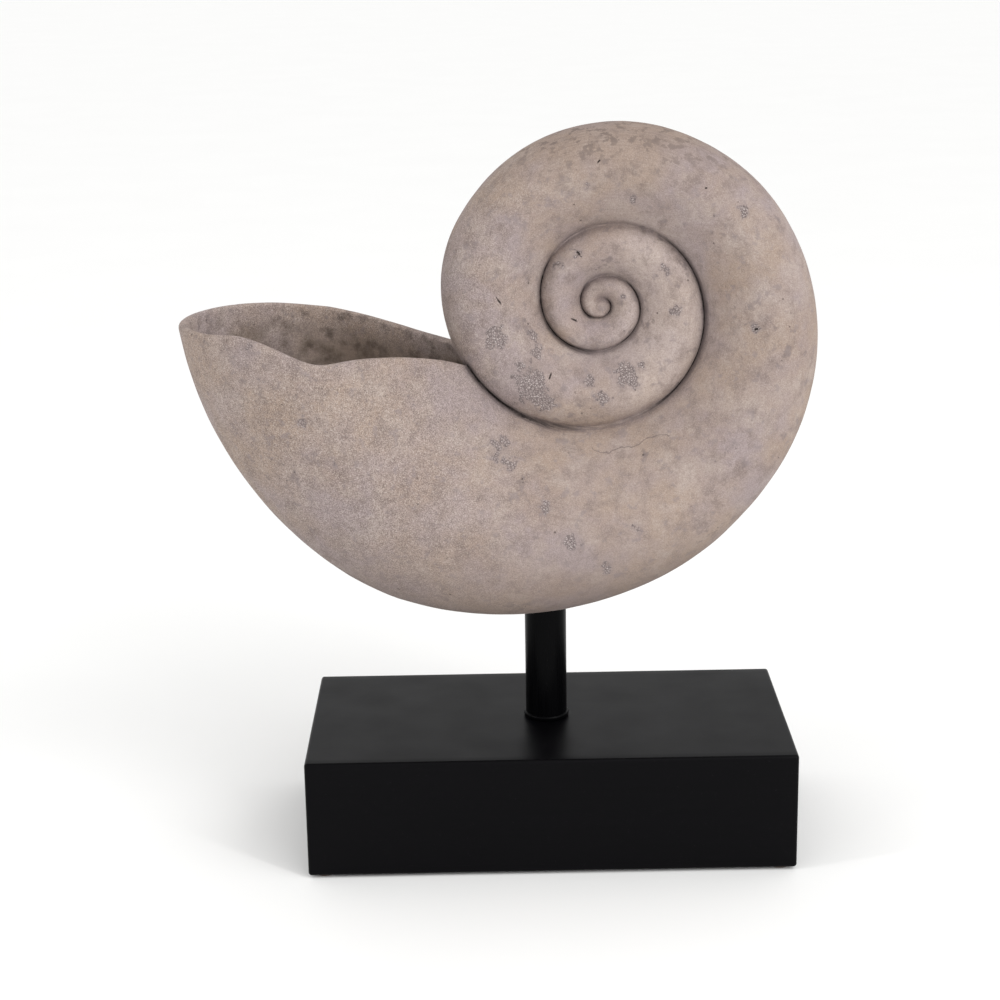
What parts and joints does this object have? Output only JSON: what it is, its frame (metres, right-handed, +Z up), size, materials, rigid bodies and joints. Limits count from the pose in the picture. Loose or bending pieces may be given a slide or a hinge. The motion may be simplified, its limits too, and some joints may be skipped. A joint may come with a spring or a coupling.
{
  "type": "nautilus shell sculpture on stand",
  "caption": "Cast nautilus-shaped spiral shell with an open hollow mouth, held on a round post over a rectangular block.",
  "frame": {"origin": "on the floor, under the middle of the whole object's bounding box", "axes": "+Z up, +X from the open mouth towards the coil's outer side, -Y out of the front, where the coil is seen turning"},
  "size_m": [0.3855, 0.15, 0.4491],
  "materials": {
    "shell_body": "rough matte, worn cement-coloured coat",
    "post_paint": "satin black",
    "block_paint": "satin black stain",
    "pad_felt": "felt"
  },
  "bodies": {
    "root": {"shell": "shell_body", "post": "post_paint", "post_collar": "post_paint", "base_block": "block_paint", "foot_pad_front_left": "pad_felt", "foot_pad_front_right": "pad_felt", "foot_pad_back_left": "pad_felt", "foot_pad_back_right": "pad_felt"}
  },
  "joints": []
}
